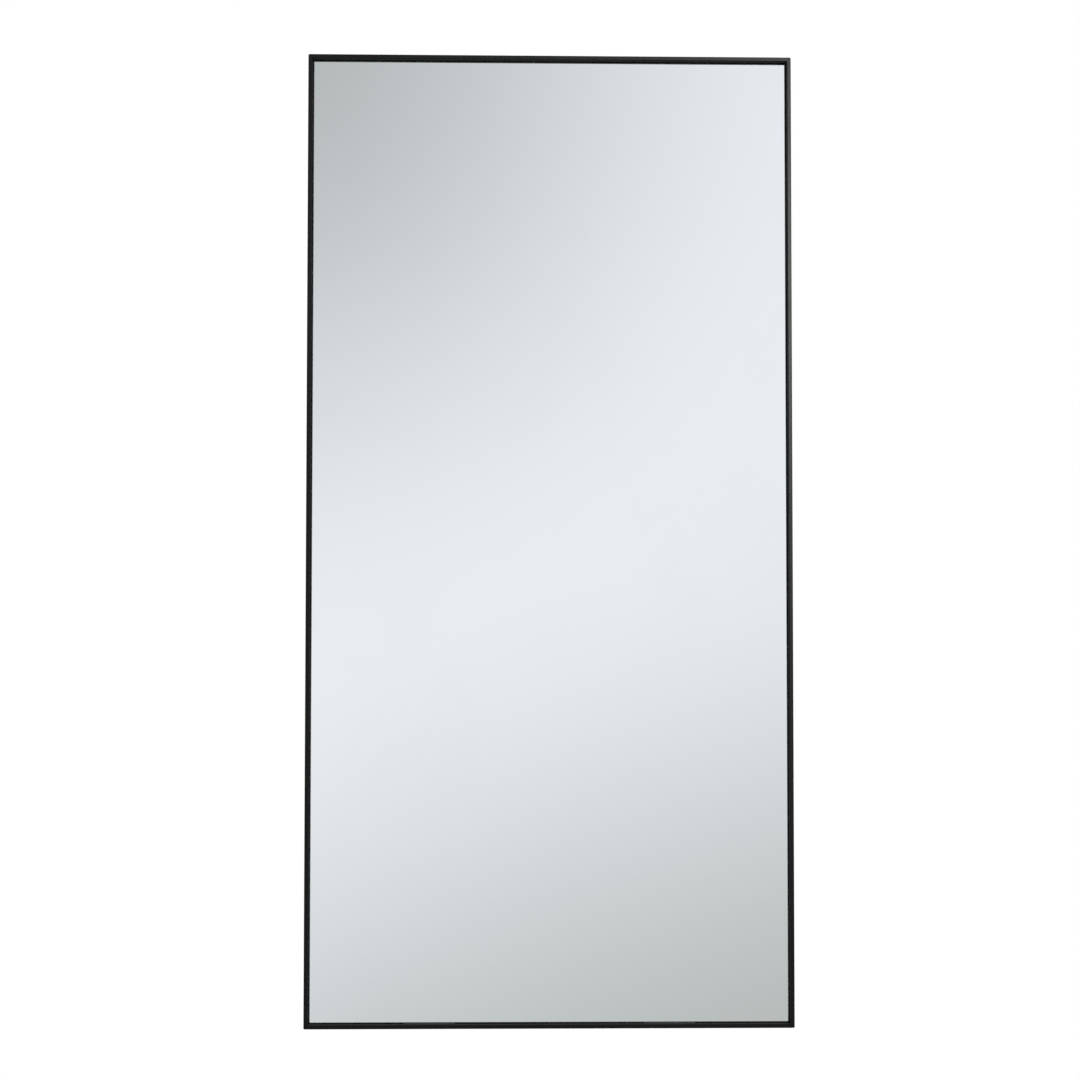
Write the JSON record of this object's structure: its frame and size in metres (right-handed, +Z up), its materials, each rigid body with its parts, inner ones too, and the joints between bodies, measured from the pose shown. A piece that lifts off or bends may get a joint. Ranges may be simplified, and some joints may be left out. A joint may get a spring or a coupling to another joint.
{
  "type": "framed wall mirror",
  "caption": "Tall rectangular wall mirror with deep-set glass in a slim mitred black metal frame, hung by swinging wire rings on its back.",
  "frame": {"origin": "middle of the frame's underside, half way through the frame's depth", "axes": "+X to the right seen from the front, +Y from the front towards the wall, +Z up"},
  "size_m": [0.762, 0.0314, 1.524],
  "materials": {
    "frame_coat": "satin",
    "mirror": "polished",
    "film": "satin",
    "foam": "matte",
    "fibreboard": "matte",
    "key_metal": "satin",
    "zinc": "satin",
    "black_screw": "satin",
    "rubber": "matte"
  },
  "bodies": {
    "framed_mirror": {"bottom_rail": "frame_coat", "top_rail": "frame_coat", "left_stile": "frame_coat", "right_stile": "frame_coat", "corner_key_bottom_left": "key_metal", "corner_key_bottom_right": "key_metal", "corner_key_top_right": "key_metal", "corner_key_top_left": "key_metal", "corner_key_screws": "zinc", "mirror_glass": "mirror", "safety_film": "film", "mounting_tape": "foam", "setting_blocks": "rubber", "back_panel": "fibreboard", "panel_screws": "black_screw", "hanger_screws": "zinc", "hanger_strap_upright_left": "zinc", "hanger_strap_upright_right": "zinc", "hanger_strap_sideways_lower": "zinc", "hanger_strap_sideways_upper": "zinc", "wall_bumper_bottom_left": "rubber", "wall_bumper_bottom_right": "rubber", "wall_bumper_top_left": "rubber", "wall_bumper_top_right": "rubber"},
    "ring_upright_left": {"hanger_ring_upright_left": "zinc"},
    "ring_upright_right": {"hanger_ring_upright_right": "zinc"},
    "ring_sideways_lower": {"hanger_ring_sideways_lower": "zinc"},
    "ring_sideways_upper": {"hanger_ring_sideways_upper": "zinc"}
  },
  "joints": [
    {"name": "ring_upright_left_swing", "type": "hinge", "parent": "framed_mirror", "child": "ring_upright_left", "pos_m": [-0.35965, 0.01488, 1.34007], "axis": [-1, 0, 0], "range_deg": [0, 175]},
    {"name": "ring_upright_right_swing", "type": "hinge", "parent": "framed_mirror", "child": "ring_upright_right", "pos_m": [0.35965, 0.01488, 1.34007], "axis": [-1, 0, 0], "range_deg": [0, 175]},
    {"name": "ring_sideways_lower_swing", "type": "hinge", "parent": "framed_mirror", "child": "ring_sideways_lower", "pos_m": [-0.3621, 0.01488, 0.27287], "axis": [0, 0, -1], "range_deg": [0, 175]},
    {"name": "ring_sideways_upper_swing", "type": "hinge", "parent": "framed_mirror", "child": "ring_sideways_upper", "pos_m": [-0.3621, 0.01488, 1.25113], "axis": [0, 0, -1], "range_deg": [0, 175]}
  ]
}
